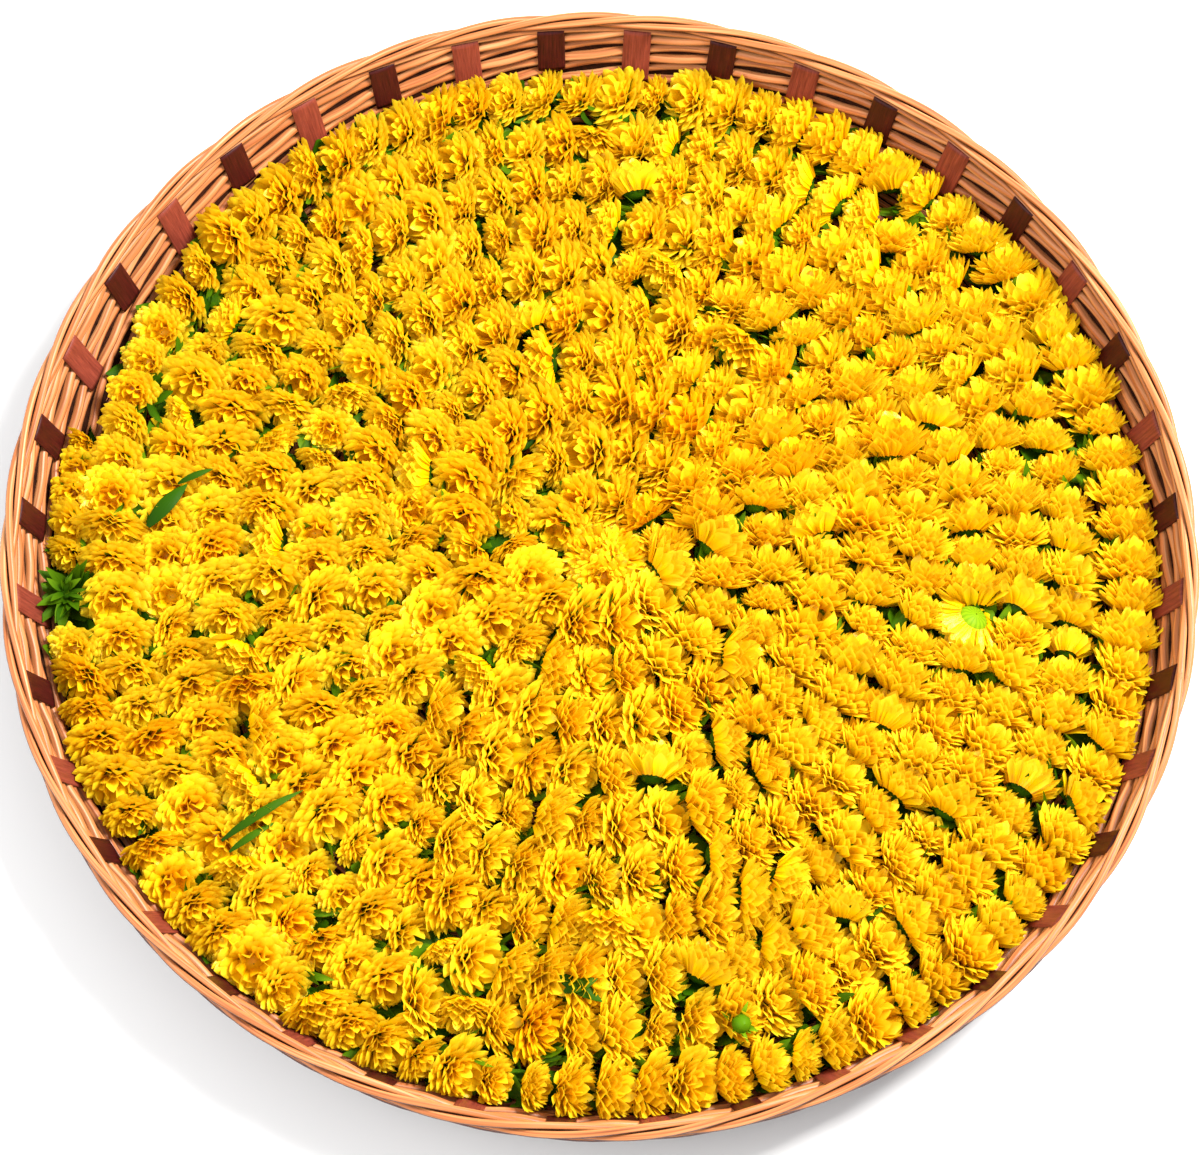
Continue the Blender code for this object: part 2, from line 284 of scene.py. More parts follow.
# Painted shade: the dark brown round each rod's underside and flanks, and how it fades into the rod's own
# colour. CROWN_ASIDE and CROWN_INWARD weigh where it falls round the rod
ROD_PAINTED_SHADE = (0.048, 0.004, 0.001)
PAINTED_SHADE_EDGE = ((0.47, (0.0, 0.0, 0.0)), (0.92, (1.0, 1.0, 1.0)))
CROWN_ASIDE = 0.695
CROWN_INWARD = 0.719
DARK_SPLINT = ((0.28, (0.018, 0.0014, 0.0016)), (0.75, (0.085, 0.0090, 0.0075)))
RED_SPLINT = ((0.28, (0.120, 0.018, 0.011)), (0.75, (0.330, 0.066, 0.038)))
# Painted shade: the colours of the dark sheet that fills the gaps behind the rods
PAINTED_SHADE_LAYER = ((0.3, (0.010, 0.003, 0.001)), (0.8, (0.050, 0.013, 0.005)))

rng = np.random.default_rng(5)


def unit(vectors):
    """Vectors of length one along the last axis."""
    vectors = np.asarray(vectors, dtype=float)
    return vectors / np.maximum(np.linalg.norm(vectors, axis=-1, keepdims=True), 1e-12)


def smooth_step(share):
    """0 below 0, 1 above 1, and an easy curve between."""
    share = min(max(share, 0.0), 1.0)
    return share * share * (3.0 - 2.0 * share)


def floor_height(radius):
    """Height of the base's upper side, domed in the middle."""
    return BASE_EDGE_TOP + BASE_DOME * (1.0 - np.minimum(radius / COIL_RADIUS, 1.0) ** 2)


def wall_radius(z):
    """Mid radius of the wall."""
    fall = (WALL_TOP - z) / (WALL_TOP - WALL_BOTTOM)
    return WALL_TOP_RADIUS - WALL_LEAN * fall - WALL_FOOT_CURVE * fall**4


class Sheet:
    """Collects points, four-cornered faces and per-point values, and makes one mesh of them."""

    def __init__(self):
        self.points = []
        self.quads = []
        self.values = {"tone": [], "along": [], "across": []}
        self.parts = []
        self.count = 0

    def add(self, points, quads, tone, along, across, part=0):
        points = np.asarray(points, dtype=float).reshape(-1, 3)
        quads = np.asarray(quads, dtype=np.int64).reshape(-1, 4)
        self.quads.append(quads + self.count)
        self.points.append(points)
        for key, value in (("tone", tone), ("along", along), ("across", across)):
            self.values[key].append(np.broadcast_to(np.asarray(value, float), (len(points),)))
        self.parts.append(np.full(len(quads), part))
        self.count += len(points)

    def build(self, name, materials, slot, *nodes):
        """Makes the mesh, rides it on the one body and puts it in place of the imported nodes."""
        points = np.concatenate(self.points)
        quads = np.concatenate(self.quads)
        mesh = bpy.data.meshes.new(name)
        mesh.vertices.add(len(points))
        mesh.vertices.foreach_set("co", points.astype(np.float32).ravel())
        mesh.loops.add(quads.size)
        mesh.loops.foreach_set("vertex_index", quads.astype(np.int32).ravel())
        mesh.polygons.add(len(quads))
        mesh.polygons.foreach_set("loop_start", np.arange(0, quads.size, 4, dtype=np.int32))
        mesh.update(calc_edges=True)
        mesh.polygons.foreach_set("material_index", np.concatenate(self.parts).astype(np.int32))
        mesh.polygons.foreach_set("use_smooth", np.ones(len(quads), dtype=bool))
        for key, values in self.values.items():
            layer = mesh.attributes.new(key, "FLOAT", "POINT")
            layer.data.foreach_set("value", np.concatenate(values).astype(np.float32))
        mesh.update()
        for made in materials:
            mesh.materials.append(made)
        piece = bpy.data.objects.new(name, mesh)
        bpy.context.scene.collection.objects.link(piece)
        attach(piece, "root")
        if nodes:
            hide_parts(*nodes)


def tube(sheet, path, radius, sides, tone, closed=False, part=0):
    """A round rod along a path, with its ends closed."""
    path = np.asarray(path, dtype=float)
    count = len(path)
    radius = np.broadcast_to(np.asarray(radius, float), (count,))
    ahead = np.roll(path, -1, 0) - np.roll(path, 1, 0)
    if not closed:
        ahead[0] = path[1] - path[0]
        ahead[-1] = path[-1] - path[-2]
    ahead = unit(ahead)
    out = unit(path * (1.0, 1.0, 0.0) + (1e-9, 0.0, 0.0))
    out = unit(out - ahead * (out * ahead).sum(1, keepdims=True))
    side = np.cross(ahead, out)
    turn = 2 * math.pi * np.arange(sides) / sides
    ring = out[:, None] * np.cos(turn)[None, :, None] + side[:, None] * np.sin(turn)[None, :, None]
    points = path[:, None] + ring * radius[:, None, None]
    steps = np.linalg.norm(np.diff(path, axis=0), axis=1)
    length = np.concatenate([[0.0], np.cumsum(steps)])
    spans = count if closed else count - 1
    i = np.arange(spans)[:, None]
    j = np.arange(sides)[None, :]
    k = (j + 1) % sides
    ahead_i = (i + 1) % count
    quads = np.stack([i * sides + j, i * sides + k, ahead_i * sides + k, ahead_i * sides + j], -1)
    quads = quads.reshape(-1, 4)
    if not closed:
        caps = []
        for a in range(1, sides - 2, 2):
            caps.append((0, a + 2, a + 1, a))
            last = (count - 1) * sides
            caps.append((last, last + a, last + a + 1, last + a + 2))
        quads = np.concatenate([quads, np.array(caps)])
    along = np.repeat(length, sides)
    across = np.tile(np.arange(sides) / sides, count)
    sheet.add(points, quads, tone, along, across, part)


class Nodes:
    """A few calls that keep a material's node tree short to write."""

    def __init__(self, name):
        self.material = bpy.data.materials.new(name)
        self.material.use_nodes = True
        self.tree = self.material.node_tree
        self.shader = self.tree.nodes["Principled BSDF"]
        self.output = self.tree.nodes["Material Output"]

    def node(self, kind, **settings):
        made = self.tree.nodes.new(kind)
        for key, value in settings.items():
            setattr(made, key, value)
        return made

    def link(self, source, target):
        self.tree.links.new(source, target)

    def value(self, name):
        made = self.node("ShaderNodeAttribute", attribute_name=name)
        return made.outputs["Fac"]

    def math(self, operation, a, b=0.0):
        made = self.node("ShaderNodeMath", operation=operation)
        for socket, item in zip(made.inputs, (a, b)):
            if isinstance(item, (int, float)):
                socket.default_value = item
            else:
                self.link(item, socket)
        return made.outputs["Value"]

    def combine(self, x, y, z):
        made = self.node("ShaderNodeCombineXYZ")
        for socket, item in zip(made.inputs, (x, y, z)):
            if isinstance(item, (int, float)):
                socket.default_value = item
            else:
                self.link(item, socket)
        return made.outputs["Vector"]

    def noise(self, vector, scale, detail=2.0, roughness=0.5):
        made = self.node("ShaderNodeTexNoise")
        made.inputs["Scale"].default_value = scale
        made.inputs["Detail"].default_value = detail
        made.inputs["Roughness"].default_value = roughness
        self.link(vector, made.inputs["Vector"])
        return made.outputs["Fac"]

    def ramp(self, factor, stops):
        made = self.node("ShaderNodeValToRGB")
        elements = made.color_ramp.elements
        while len(elements) < len(stops):
            elements.new(0.5)
        for element, (place, colour) in zip(elements, stops):
            element.position = place
            element.color = (*colour, 1.0)
        self.link(factor, made.inputs["Fac"])
        return made.outputs["Color"]

    def mix(self, factor, a, b, blend="MIX"):
        made = self.node("ShaderNodeMix", data_type="RGBA", blend_type=blend)
        for socket, item in ((made.inputs["Factor"], factor), (made.inputs["A"], a), (made.inputs["B"], b)):
            if isinstance(item, tuple):
                socket.default_value = (*item, 1.0)
            elif isinstance(item, (int, float)):
                socket.default_value = item
            else:
                self.link(item, socket)
        return made.outputs["Result"]

    def bump(self, height, strength, distance):
        made = self.node("ShaderNodeBump")
        made.inputs["Strength"].default_value = strength
        made.inputs["Distance"].default_value = distance
        self.link(height, made.inputs["Height"])
        self.link(made.outputs["Normal"], self.shader.inputs["Normal"])


def petal_material():
    """Yellow petals, orange towards their roots, with fine lengthwise veins and some light through."""
    n = Nodes("petals")
    along = n.value("along")
    across = n.value("across")
    tone = n.value("tone")
    colour = n.mix(tone, n.ramp(along, FRESH_PETAL), n.ramp(along, RIPE_AND_SHADED_PETAL))
    place = n.combine(n.math("MULTIPLY", across, 3.2), n.math("MULTIPLY", along, 0.5), tone)
    veins = n.noise(place, 3.0, 2.0)
    colour = n.mix(n.math("MULTIPLY", veins, 0.12), colour, PETAL_VEIN)
    n.link(colour, n.shader.inputs["Base Color"])
    n.shader.inputs["Roughness"].default_value = 0.28
    n.shader.inputs["Specular IOR Level"].default_value = 0.30
    n.bump(veins, 0.35, 0.0006)
    light = n.node("ShaderNodeBsdfTranslucent")
    n.link(colour, light.inputs["Color"])
    both = n.node("ShaderNodeMixShader")
    both.inputs["Fac"].default_value = 0.36
    n.link(n.shader.outputs["BSDF"], both.inputs[1])
    n.link(light.outputs["BSDF"], both.inputs[2])
    n.link(both.outputs["Shader"], n.output.inputs["Surface"])
    return n.material


def green_material():
    """Calyx, sepals and leaves: mid green, paler at the tips, with a faint vein."""
    n = Nodes("greens")
    along = n.value("along")
    tone = n.value("tone")
    colour = n.mix(tone, n.ramp(along, DEEP_GREEN), n.ramp(along, PALE_GREEN))
    grain = n.noise(n.combine(n.math("MULTIPLY", n.value("across"), 2.5), along, tone), 3.0, 3.0)
    colour = n.mix(n.math("MULTIPLY", grain, 0.4), colour, GREEN_VEIN)
    n.link(colour, n.shader.inputs["Base Color"])
    n.shader.inputs["Roughness"].default_value = 0.40
    n.shader.inputs["Specular IOR Level"].default_value = 0.04
    n.bump(grain, 0.4, 0.0006)
    return n.material


def rod_material():
    """Peeled and varnished willow: tan with orange streaks, and dark brown painted shade round each rod's
    underside and flanks, where the rods next to it meet it.
    """
    n = Nodes("rods")
    along = n.value("along")
    tone = n.value("tone")
    ring = n.math("MULTIPLY", n.value("across"), 2 * math.pi)
    x = n.math("COSINE", ring)
    y = n.math("SINE", ring)
    place = n.math("ADD", n.math("MULTIPLY", along, 9.0), n.math("MULTIPLY", tone, 37.0))
    streak = n.noise(n.combine(x, y, place), 1.6, 4.0, 0.6)
    colour = n.ramp(streak, ROD_STREAKS)
    colour = n.mix(n.math("MULTIPLY", tone, 0.35), colour, ROD_TAN)
    # Painted shade: each rod turns dark brown towards its underside and where it meets the next rods, and
    # keeps its streaked colour on its upper side
    aside = n.math("MULTIPLY", n.math("ABSOLUTE", x), CROWN_ASIDE)
    crown = n.math("SUBTRACT", aside, n.math("MULTIPLY", y, CROWN_INWARD))
    colour = n.mix(n.ramp(crown, PAINTED_SHADE_EDGE), ROD_PAINTED_SHADE, colour)
    n.link(colour, n.shader.inputs["Base Color"])
    n.shader.inputs["Roughness"].default_value = 0.36
    n.shader.inputs["Specular IOR Level"].default_value = 0.28
    fine = n.noise(n.combine(x, y, n.math("MULTIPLY", along, 30.0)), 3.0, 3.0)
    n.bump(fine, 0.25, 0.0005)
    return n.material


def splint_material(name, stops):
    """Stained flat splints with grain along their length."""
    n = Nodes(name)
    across = n.math("MULTIPLY", n.value("across"), 9.0)
    along = n.math("MULTIPLY", n.value("along"), 60.0)
    tone = n.math("MULTIPLY", n.value("tone"), 50.0)
    grain = n.noise(n.combine(across, along, tone), 1.0, 5.0, 0.65)
    n.link(n.ramp(grain, stops), n.shader.inputs["Base Color"])
    n.shader.inputs["Roughness"].default_value = 0.42
    n.shader.inputs["Specular IOR Level"].default_value = 0.20
    n.bump(grain, 0.35, 0.0005)
    return n.material


def shade_material():
    """A dark sheet of painted shade behind and between the rods, brown and uneven."""
    n = Nodes("painted_shade_layer")
    place = n.node("ShaderNodeTexCoord").outputs["Object"]
    grain = n.noise(place, 260.0, 3.0)
    n.link(n.ramp(grain, PAINTED_SHADE_LAYER), n.shader.inputs["Base Color"])
    n.shader.inputs["Roughness"].default_value = 0.9
    n.shader.inputs["Specular IOR Level"].default_value = 0.10
    n.bump(grain, 0.4, 0.0006)
    return n.material


def coil_radius(turn):
    """Radius of the string after a number of turns: level rings, with a step inwards in each turn."""
    whole = math.floor(turn)
    step = smooth_step((turn - whole - 1.0 + STEP_SHARE) / STEP_SHARE)
    return COIL_RADIUS - PITCH * (whole + step)


def string_at(turn):
    """Radius of the string and the room on each side of it. The loose end tapers into its wedge."""
    if turn >= 0.0:
        return coil_radius(turn), PITCH / 2
    room = COIL_RADIUS - coil_radius(turn + 1.0)
    return COIL_RADIUS + (PITCH - room) / 2, room / 2


def place_heads():
    """The heads in order along the string, each as the turn at its calyx and its half width."""
    random.seed(SEED)
    heads = []
    turn = -STEP_SHARE / 2
    while True:
        radius, room = string_at(turn)
        spacing = SPACING * random.uniform(1.0 - SPACING_SPREAD, 1.0 + SPACING_SPREAD)
        spacing *= 0.5 + 0.5 * min(room / (PITCH / 2), 1.0)
        ahead = turn + spacing / (2 * math.pi * radius)
        if ahead > END_TURN:
            return heads, turn
        half = (room - SIDE_CLEAR) * random.uniform(HEAD_SMALLEST, 1.0)
        heads.append((turn, half))
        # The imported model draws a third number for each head, so one is drawn here to keep in step
        random.uniform(0.0, 2 * math.pi)
        turn = ahead


def string_point(turn):
    """A point on the string, at its own height above the domed base."""
    radius = string_at(turn)[0]
    angle = COIL_START + 2 * math.pi * turn
    height = float(floor_height(radius)) + STRING_HEIGHT
    return Vector((radius * math.cos(angle), radius * math.sin(angle), height))


def blades(sheet, base, axis, out, alpha, curl, length, width, cup, sway, tone, part=0,
           rows=PETAL_ROWS, widths=PETAL_WIDTHS, notch=PETAL_NOTCH, bend=1.0):
    """Curved strap blades, three points across. alpha is each one's angle from axis towards out.
    A bend over 1 puts the curl near the tip."""
    count = len(base)
    side = np.cross(axis, out)
    points = np.zeros((count, len(rows), 3, 3))
    here = base.copy()
    last = 0.0
    for k, row in enumerate(rows):
        angle = alpha + curl * ((row + last) / 2) ** bend
        heading = np.cos(angle)[:, None] * axis + np.sin(angle)[:, None] * out
        heading = unit(heading + side * (sway * row)[:, None])
        here = here + heading * (length * (row - last))[:, None]
        last = row
        angle = alpha + curl * row**bend
        inner = np.sin(angle)[:, None] * axis - np.cos(angle)[:, None] * out
        half = (width * widths[k] / 2)[:, None]
        edge = inner * (cup[:, None] * half)
        middle = here
        if k == len(rows) - 1:
            middle = here - heading * (length * notch)[:, None]
        points[:, k, 0] = here - side * half + edge
        points[:, k, 1] = middle
        points[:, k, 2] = here + side * half + edge
    stride = len(rows) * 3
    grid = []
    for k in range(len(rows) - 1):
        for j in range(2):
            a = 3 * k + j
            grid.append((a, a + 1, a + 4, a + 3))
    grid = np.array(grid)
    quads = (np.arange(count) * stride)[:, None, None] + grid[None]
    along = np.broadcast_to(rows[None, :, None], (count, len(rows), 3)).ravel()
    across = np.broadcast_to(np.array([-1.0, 0.0, 1.0])[None, None], (count, len(rows), 3)).ravel()
    tones = np.repeat(np.broadcast_to(tone, (count,)), stride)
    sheet.add(points, quads, tones, along, across, part)


def frame_about(axis):
    """Two directions square to an axis, after the axis itself."""
    axis = Vector(axis).normalized()
    aside = axis.cross(Vector((0.0, 0.0, 1.0)))
    if aside.length < 0.05:
        aside = axis.cross(Vector((1.0, 0.0, 0.0)))
    aside.normalize()
    return np.array(axis), np.array(aside), np.array(aside.cross(axis))


def spun_round(sheet, root, directions, shape, size, sides, tone, part, ends=(0.0, 0.3)):
    """A small turned form about a head's axis, from its depths and radii."""
    ahead, right, up = directions
    turn = 2 * math.pi * np.arange(sides) / sides
    spokes = np.cos(turn)[:, None] * right + np.sin(turn)[:, None] * up
    depth = np.array([d for d, _ in shape]) * size
    radius = np.array([r for _, r in shape]) * size
    points = root + ahead * depth[:, None, None] + spokes[None] * radius[:, None, None]
    i = np.arange(len(shape) - 1)[:, None]
    j = np.arange(sides)[None, :]
    k = (j + 1) % sides
    quads = np.stack([i * sides + j, (i + 1) * sides + j, (i + 1) * sides + k, i * sides + k], -1)
    heights = np.repeat(np.linspace(*ends, len(shape)), sides)
    sheet.add(points, quads, tone, heights, 0.0, part)


def add_petals(sheet, root, directions, size, tone, petals, openness, broad, deep):
    """Rounded petals in a golden-angle spiral over a dome. The innermost curl in, the others out."""
    ahead, right, up = directions
    n = np.arange(petals)
    share = (((n + 0.5) / petals) ** PETAL_CROWDING)[::-1]
    spin = n * GOLDEN + rng.uniform(0, 2 * math.pi)
    out = np.cos(spin)[:, None] * right + np.sin(spin)[:, None] * up
    polar = openness * share**PETAL_SPREAD + rng.normal(0.0, 0.05, petals)
    rise = ahead[2] * np.cos(polar) + out[:, 2] * np.sin(polar)
    kept = rise > (LOWEST_PETAL if ahead[2] > -0.5 else LOWEST_TURNED_PETAL)
    share = share[kept]
    out = out[kept]
    polar = polar[kept]
    petals = len(share)
    down = np.clip(-out[:, 2], 0.0, 1.0) * share
    grow = size * rng.uniform(0.90, 1.08, petals) * (1.0 - PETAL_DROOP * down)
    tip_out = HEAD_REACH * np.sin(polar) * grow * (0.93 + 0.14 * (out @ right) ** 2)
    tip_ahead = HEAD_RISE * size + deep * HEAD_DEPTH * np.cos(polar) * grow
    root_out = size * (PETAL_ROOT_OUT[0] + PETAL_ROOT_OUT[1] * share) + PETAL_ROOT_FOLLOW * tip_out
    root_ahead = size * (PETAL_ROOT_RISE[0] + PETAL_ROOT_RISE[1] * share)
    curl = np.interp(share, CURL_PLACES, CURLS) + rng.normal(0.0, CURL_SPREAD, petals)
    # A curled petal starts off its straight line, and is a little longer, so that its tip stays in place
    alpha = np.arctan2(tip_out - root_out, tip_ahead - root_ahead) - 0.31 * curl
    length = np.hypot(tip_out - root_out, tip_ahead - root_ahead) * (1.0 + 0.045 * curl * curl)
    width = broad * size * (PETAL_WIDTH[0] + PETAL_WIDTH[1] * share) * rng.uniform(0.85, 1.18, petals)
    base = root + ahead * root_ahead[:, None] + out * root_out[:, None]
    cup = rng.uniform(*PETAL_CUP, petals)
    sway = rng.normal(0.0, 0.14, petals)
    petal_tone = np.clip(tone + 0.26 * (1.0 - share) + rng.normal(0.0, 0.09, petals), 0.0, 1.0)
    axes = np.broadcast_to(ahead, out.shape)
    blades(sheet, base, axes, out, alpha, curl, length, width, cup, sway, petal_tone, bend=2.0)


def add_calyx(sheet, root, directions, size, openness, green, showy):
    """The green cup under a head, with its ring of sepals. A showy one is larger and striped."""
    ahead, right, up = directions
    sides = SHOWY_SIDES if showy else CALYX_SIDES
    sepals = SHOWY_SEPALS if showy else CALYX_SEPALS
    cup_size = size * (SHOWY_CUP if showy else 1.0)
    stripes = SHOWY_STRIPE * (np.arange(sides * len(CALYX_SHAPE)) % 2) * showy
    ends = (1.2, 0.6) if showy else (0.0, 0.3)
    cup_root = root - ahead * CALYX_SINK * size
    spun_round(sheet, cup_root, directions, CALYX_SHAPE, cup_size, sides, green - stripes, 1, ends)
    turn = 2 * math.pi * (np.arange(sepals) + rng.uniform(0, 1)) / sepals
    out = np.cos(turn)[:, None] * right + np.sin(turn)[:, None] * up
    roots = root + ahead * (SEPAL_RISE * size) + out * (SEPAL_OUT * size)
    curl = rng.uniform(0.5, 1.0, sepals) * openness / 1.1
    length = size * rng.uniform(*SEPAL_LENGTH, sepals) * (SHOWY_SEPAL_LENGTH if showy else 1.0)
    sway = rng.normal(0, 0.1, sepals)
    tone = np.clip(green + rng.uniform(-0.3, 0.2, sepals), 0, 1)
    blades(sheet, roots, np.broadcast_to(ahead, out.shape), out, np.full(sepals, 0.30), curl, length,
           np.full(sepals, SEPAL_WIDTH * size), np.full(sepals, -0.3), sway, tone, 1,
           SEPAL_ROWS, SEPAL_WIDTHS, 0.0)


def flower_head(sheet, centre, axis, size, tone, petals, openness, green, broad=1.0, showy=False, deep=1.0):
    """One head: petals, the orange middle that they grow from, and the calyx."""
    directions = frame_about(axis)
    ahead = directions[0]
    root = np.array(centre) - ahead * HEAD_ROOT * size
    add_petals(sheet, root, directions, size, tone, petals, openness, broad, deep)
    core_tone = min(tone + 0.4, 1.0)
    spun_round(sheet, root + ahead * CORE_RISE * size, directions, CORE_SHAPE, size, CORE_SIDES, core_tone, 0)
    add_calyx(sheet, root, directions, size, openness, green, showy)


def ring_swell(x, y):
    """1 on the crest of the raised arc of heads about the middle, and 0 away from it."""
    crest = math.exp(-(((math.hypot(x, y) - SWELL_RADIUS) / SWELL_WIDTH) ** 2))
    return crest * max(math.sin(math.atan2(y, x) - SWELL_TURN), 0.0)


def swirl_tone(x, y):
    """How orange the heads are here: most in the raised arc and the middle, and more to the left as painted
    shade, on the side away from the key light.
    """
    middle = math.exp(-((math.hypot(x, y) / 0.11) ** 2))
    # Painted shade: heads further left are made more orange, as on the side away from the key light
    left = 0.5 - x / (2 * RIM_RADIUS)
    return 0.08 + 0.10 * middle + 0.20 * left + 0.34 * ring_swell(x, y)


def keep_inside(sheet):
    """Presses petals that would pass through the wall or the base flat against it."""
    for points in sheet.points:
        radius = np.hypot(points[:, 0], points[:, 1])
        room = wall_radius(points[:, 2]) - WALL_ROOM
        points[:, :2] *= np.minimum(1.0, room / np.maximum(radius, 1e-6))[:, None]
        points[:, 2] = np.maximum(points[:, 2], floor_height(radius) + FLOOR_ROOM)


def lay_leaf(sheet, start, end, height, width, tone, arch=0.35):
    """One leaf from start to end, given as x and y, that lies over the heads in a low arch."""
    base = np.array((start[0], start[1], height))
    run = np.array((end[0] - start[0], end[1] - start[1], 0.0))
    length = float(np.linalg.norm(run))
    blades(sheet, base[None], unit(run)[None], np.array([[0.0, 0.0, 1.0]]), np.array([arch]),
           np.array([-2.0 * arch]), np.array([length * 1.04]), np.array([width]), np.array([0.35]),
           np.array([0.10]), tone, 1, LONG_LEAF_ROWS, LONG_LEAF_WIDTHS, 0.0)


def leaf_tuft(sheet, x, y, height, count, reach, tone):
    """Leaves that stand out in all directions from one place."""
    turn = rng.uniform(0, 2 * math.pi, count)
    out = np.stack([np.cos(turn), np.sin(turn), np.zeros(count)], 1)
    base = np.array((x, y, height)) + out * rng.uniform(0.0, 0.003, count)[:, None]
    axes = np.broadcast_to(np.array((0.0, 0.0, 1.0)), out.shape)
    alpha = rng.uniform(0.5, 1.3, count)
    curl = rng.uniform(-0.3, 0.8, count)
    length = reach * rng.uniform(0.6, 1.1, count)
    width = reach * rng.uniform(0.20, 0.36, count)
    cup = rng.uniform(0.1, 0.6, count)
    sway = rng.normal(0.0, 0.25, count)
    tones = tone + rng.uniform(0.0, 0.35, count)
    blades(sheet, base, axes, out, alpha, curl, length, width, cup, sway, tones, 1,
           SMALL_LEAF_ROWS, TUFT_LEAF_WIDTHS, 0.0)


def make_loose_greens(finishes):
    """The few leaves and the bud that stand out in the photograph's coil."""
    sheet = Sheet()
    for tuft in LEAF_TUFTS:
        leaf_tuft(sheet, *tuft)
    for leaf in LONG_LEAVES:
        lay_leaf(sheet, *leaf)
    bud = []
    for i in range(7):
        turn = math.pi * i / 6
        bud.append((BUD_HALF * (1.0 - math.cos(turn)), BUD_RADIUS * math.sin(turn) + 0.0002))
    spun_round(sheet, np.array(BUD_PLACE), frame_about(BUD_AXIS), bud, 1.0, 10, 1.0, 1)
    keep_inside(sheet)
    sheet.build("loose_greens", finishes, "green_leaves")


def add_leaves(sheet, centre, ahead, outward, sides):
    """Slim leaves and bits of stem caught between the rows of heads, over broader dark ones below."""
    for low in LEAVES:
        lean = rng.uniform(-0.7, 0.7) + low * rng.uniform(0.0, 2 * math.pi)
        lift = rng.uniform(0.0, 0.5) * (1.0 - 0.6 * low)
        axis = np.array(ahead) * math.cos(lean) + np.array(outward) * math.sin(lean)
        axis = unit(axis + np.array((0.0, 0.0, lift)))
        out = unit(np.cross(axis, rng.normal(0.0, 1.0, 3) + (0.0, 0.0, 4.0 * low)))
        if low:
            out = unit(np.cross(np.cross(axis, (0.0, 0.0, 1.0)), axis))
        aside = rng.uniform(*LEAF_ASIDE) * rng.choice(sides) * (1 - low)
        base = np.array(centre) + np.array(outward) * aside
        base[2] -= rng.uniform(0.000, 0.006) + LOW_LEAF_DROP * low
        curl = rng.normal(0.0, 0.6, 1)
        length = rng.uniform(*LEAF_LENGTH, 1) * (1.0 + 0.2 * low)
        width = rng.uniform(*LEAF_WIDTH, 1) * (1.0 + 1.3 * low)
        cup = rng.uniform(0.1, 0.6, 1)
        sway = rng.normal(0.0, 0.3, 1)
        tone = rng.uniform(0.0, 0.6, 1) * (1.0 - 0.5 * low)
        blades(sheet, base[None], axis[None], out[None], np.array([0.1]), curl, length, width, cup, sway,
               tone, 1, SMALL_LEAF_ROWS, SMALL_LEAF_WIDTHS, 0.0)


def add_string_head(sheet, number, turn, next_turn, half):
    """One head on the string between two turns, with the leaves round it. number counts the coil's turns."""
    here = string_point(turn)
    there = string_point(next_turn)
    ahead = (there - here).normalized()
    centre = (here + there) / 2
    outward = Vector((centre.x, centre.y, 0.0)).normalized()
    right = smooth_step(0.5 + centre.x / RIGHT_SPAN)
    tilt = np.clip(rng.normal(TILT[0] + RIGHT_TILT * right, TILT[1]), *TILT_LIMITS)
    tilt = math.radians(float(tilt))
    yaw = math.radians(rng.normal(*YAW))
    room = half / (PITCH / 2)
    growth = rng.choice((rng.uniform(*LARGE_HEADS), rng.uniform(*SMALL_HEADS)),
                        p=(1.0 - SMALL_SHARE, SMALL_SHARE))
    size = (1.0 + RIGHT_SIZE * right) * (0.35 + 0.65 * room) * growth
    if number == 0:
        yaw += math.radians(OUTER_YAW) * room
        centre += outward * (OUTER_SHIFT + RIGHT_SHIFT * right)
        centre.z += OUTER_LIFT
    axis = ahead * math.cos(yaw) + outward * math.sin(yaw)
    axis = axis.normalized() * math.cos(tilt) + Vector((0, 0, 1)) * math.sin(tilt)
    centre.z += rng.uniform(-0.0005, 0.0050)
    centre.z -= 0.012 * (1.0 - room) * 0.5
    away = math.hypot(centre.x - TURNED_HEAD[0], centre.y - TURNED_HEAD[1])
    turned = away < TURNED_REACH
    if turned:
        axis = Vector(TURNED_AXIS).normalized()
        centre.z += TURNED_LIFT
    swell = ring_swell(centre.x, centre.y)
    size *= 1.0 + SWELL_SIZE * swell
    centre.z += SWELL_LIFT * swell
    tone = float(np.clip(swirl_tone(centre.x, centre.y) + rng.normal(0.0, 0.16), 0.0, 0.9))
    openness = math.radians(rng.uniform(*OPENNESS) + RIGHT_OPENNESS * right)
    broad = rng.uniform(*PETAL_BREADTH)
    petals = int(rng.integers(*PETALS) * min(1.0, 0.4 + 0.6 * room) / broad)
    green = 1.0 if turned else float(rng.uniform(0.0, 0.6))
    if rng.uniform() < FAN_SHARE and away > TURNED_CLEAR and number > 0:
        aside = rng.choice((-1.0, 1.0)) * math.radians(rng.uniform(*FAN_TURN))
        axis = ahead * math.cos(aside) + outward * math.sin(aside) + Vector((0, 0, rng.uniform(0.0, 0.3)))
        axis.normalize()
        openness = math.radians(rng.uniform(*FAN_OPENNESS))
        tone *= FAN_TONE
        centre.z += FAN_LIFT
    if math.hypot(centre.x - TUFT[0], centre.y - TUFT[1]) > TUFT_CLEAR:
        flower_head(sheet, centre, axis, size, tone, petals, openness, green, broad, turned,
                    1.0 + RIGHT_DEPTH * right)
    add_leaves(sheet, centre, ahead, outward, (-1,) if number == 0 else (-1, 1))


def make_garland(finishes):
    """Every head on the string, a piece for each turn."""
    heads, end_turn = place_heads()
    for number in range(TURNS):
        sheet = Sheet()
        low = -1.0 if number == 0 else float(number)
        for k, (turn, half) in enumerate(heads):
            if low <= turn < number + 1:
                next_turn = heads[k + 1][0] if k + 1 < len(heads) else end_turn
                add_string_head(sheet, number, turn, next_turn, half)
        keep_inside(sheet)
        node = f"garland_turn_{number + 1:02d}"
        sheet.build(f"heads_turn_{number + 1:02d}", finishes, "yellow_petals", node)


